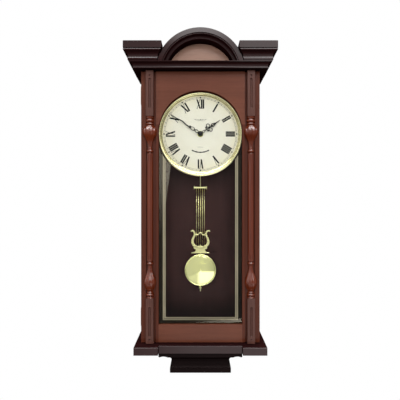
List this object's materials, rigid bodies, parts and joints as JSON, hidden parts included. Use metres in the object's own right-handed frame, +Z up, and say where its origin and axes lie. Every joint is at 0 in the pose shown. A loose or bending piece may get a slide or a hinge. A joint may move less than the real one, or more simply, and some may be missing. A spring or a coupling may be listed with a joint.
{
  "type": "schoolhouse wall clock",
  "caption": "Tall wooden drop-case wall clock with arched crown, glazed door flanked by turned split columns, Roman dial and lyre pendulum.",
  "frame": {"origin": "where the hands' axis meets the wall plane, on the rear face of the back panel", "axes": "+Z up, +X to the right of a person facing the dial, +Y into the wall"},
  "size_m": [0.368, 0.1485, 0.8382],
  "materials": {
    "case_wood": "gloss lacquered cherry",
    "door_wood": "gloss lacquered cherry",
    "column_wood": "gloss lacquered cherry, turned and carved",
    "crown_wood": "gloss lacquered dark cherry",
    "panel_wood": "gloss lacquered light cherry",
    "dark_wood": "gloss lacquered, almost black",
    "back_wood": "satin stained plywood",
    "cover_plastic": "matt moulded plastic",
    "movement_plastic": "matt moulded plastic",
    "gear_plastic": "natural acetal",
    "steel": "zinc plated",
    "hinge_brass": "satin brass plated",
    "polished_brass": "polished and lacquered",
    "glass": "clear float glass",
    "gold_print": "screen printed gold and black",
    "dial_cream": "satin enamel",
    "dial_black": "screen printed black",
    "hand_black": "satin black",
    "battery_jacket": "printed jacket, plain",
    "circuit_green": "solder mask",
    "wire_red": "insulated wire"
  },
  "bodies": {
    "case": {"side_panels": "case_wood", "back_panel": "back_wood", "top_board": "crown_wood", "dial_cleats": "back_wood", "hanger_plate": "steel", "case_screws": "steel", "cornice": "crown_wood", "crown_caps": "crown_wood", "arch_moulding": "crown_wood", "arch_tympanum": "panel_wood", "base_blocks": "crown_wood", "corbel": "dark_wood", "hinge_case_leaves": "hinge_brass", "hinge_pins": "hinge_brass", "magnetic_catch": "cover_plastic", "dial_board": "back_wood", "dial_plate": "dial_cream", "dial_printing": "dial_black", "bezel": "polished_brass", "dial_nut": "polished_brass", "movement_front_shell": "movement_plastic", "movement_rear_cover": "movement_plastic", "battery": "battery_jacket", "battery_contacts": "steel", "train_plate": "gear_plastic", "stepper_motor": "movement_plastic", "circuit_board": "circuit_green", "speaker": "cover_plastic", "speaker_wires": "wire_red", "pendulum_bracket": "movement_plastic"},
    "door": {"door_stiles": "door_wood", "door_top_rail": "door_wood", "door_bottom_rail": "door_wood", "columns": "column_wood", "column_blocks": "door_wood", "glass_pane": "glass", "glass_printing": "gold_print", "glass_retainers": "dark_wood", "hinge_door_leaves": "hinge_brass", "door_screws": "steel", "strike_plate": "steel"},
    "rear_cover": {"access_cover": "cover_plastic"},
    "minute": {"minute_hand": "hand_black", "hand_nut": "hand_black", "minute_arbor": "steel", "centre_wheel": "gear_plastic"},
    "hour": {"hour_hand": "hand_black", "hour_wheel": "gear_plastic"},
    "layshaft": {"minute_wheel": "gear_plastic"},
    "third": {"third_wheel": "gear_plastic"},
    "setting": {"set_knob": "movement_plastic"},
    "chime_switch": {"chime_slider": "gear_plastic"},
    "volume_switch": {"volume_slider": "gear_plastic"},
    "pendulum": {"pendulum_arm": "gear_plastic", "pendulum_rod": "polished_brass", "lyre_strings": "polished_brass", "lyre": "polished_brass", "rating_screw": "polished_brass"},
    "bob": {"pendulum_bob": "polished_brass"},
    "nut": {"rating_nut": "polished_brass"}
  },
  "joints": [
    {"name": "door_hinge", "type": "hinge", "parent": "case", "child": "door", "pos_m": [-0.1483, -0.0915, 0], "axis": [0, 0, -1], "range_deg": [0, 110]},
    {"name": "cover_lift", "type": "slide", "parent": "case", "child": "rear_cover", "axis": [0, 1, 0], "range_m": [0, 0.03]},
    {"name": "minute_turn", "type": "hinge", "parent": "case", "child": "minute", "pos_m": [0, -0.09, 0], "axis": [0, 1, 0], "continuous": true},
    {"name": "hour_turn", "type": "hinge", "parent": "case", "child": "hour", "pos_m": [0, -0.09, 0], "axis": [0, 1, 0], "continuous": true},
    {"name": "minute_wheel_turn", "type": "hinge", "parent": "case", "child": "layshaft", "pos_m": [0, -0.0725, 0.012], "axis": [0, 1, 0], "continuous": true},
    {"name": "third_wheel_turn", "type": "hinge", "parent": "case", "child": "third", "pos_m": [-0.01455, -0.066, -0.0084], "axis": [0, 1, 0], "continuous": true},
    {"name": "set_knob_turn", "type": "hinge", "parent": "case", "child": "setting", "pos_m": [0.012, -0.041, 0.012], "axis": [0, 1, 0], "continuous": true},
    {"name": "chime_slide", "type": "slide", "parent": "case", "child": "chime_switch", "axis": [1, 0, 0], "range_m": [-0.003, 0.003]},
    {"name": "volume_slide", "type": "slide", "parent": "case", "child": "volume_switch", "axis": [1, 0, 0], "range_m": [-0.003, 0.003]},
    {"name": "pendulum_swing", "type": "hinge", "parent": "case", "child": "pendulum", "pos_m": [0, -0.064, -0.05], "axis": [0, 1, 0], "range_deg": [-5, 5]},
    {"name": "bob_slide", "type": "slide", "parent": "pendulum", "child": "bob", "axis": [0, 0, 1], "range_m": [-0.0015, 0.0015]},
    {"name": "rating_nut_turn", "type": "hinge", "parent": "bob", "child": "nut", "pos_m": [0, -0.0626, -0.392], "axis": [0, 0, 1], "range_deg": [-1080.5, 1080.5]}
  ],
  "couplings": [
    {"joint": "hour_turn", "follows": "minute_turn", "ratio": 0.083333},
    {"joint": "minute_wheel_turn", "follows": "minute_turn", "ratio": -0.33333},
    {"joint": "third_wheel_turn", "follows": "minute_turn", "ratio": -6},
    {"joint": "set_knob_turn", "follows": "minute_turn", "ratio": 1},
    {"joint": "rating_nut_turn", "follows": "bob_slide", "rad_per_m": 12566}
  ]
}
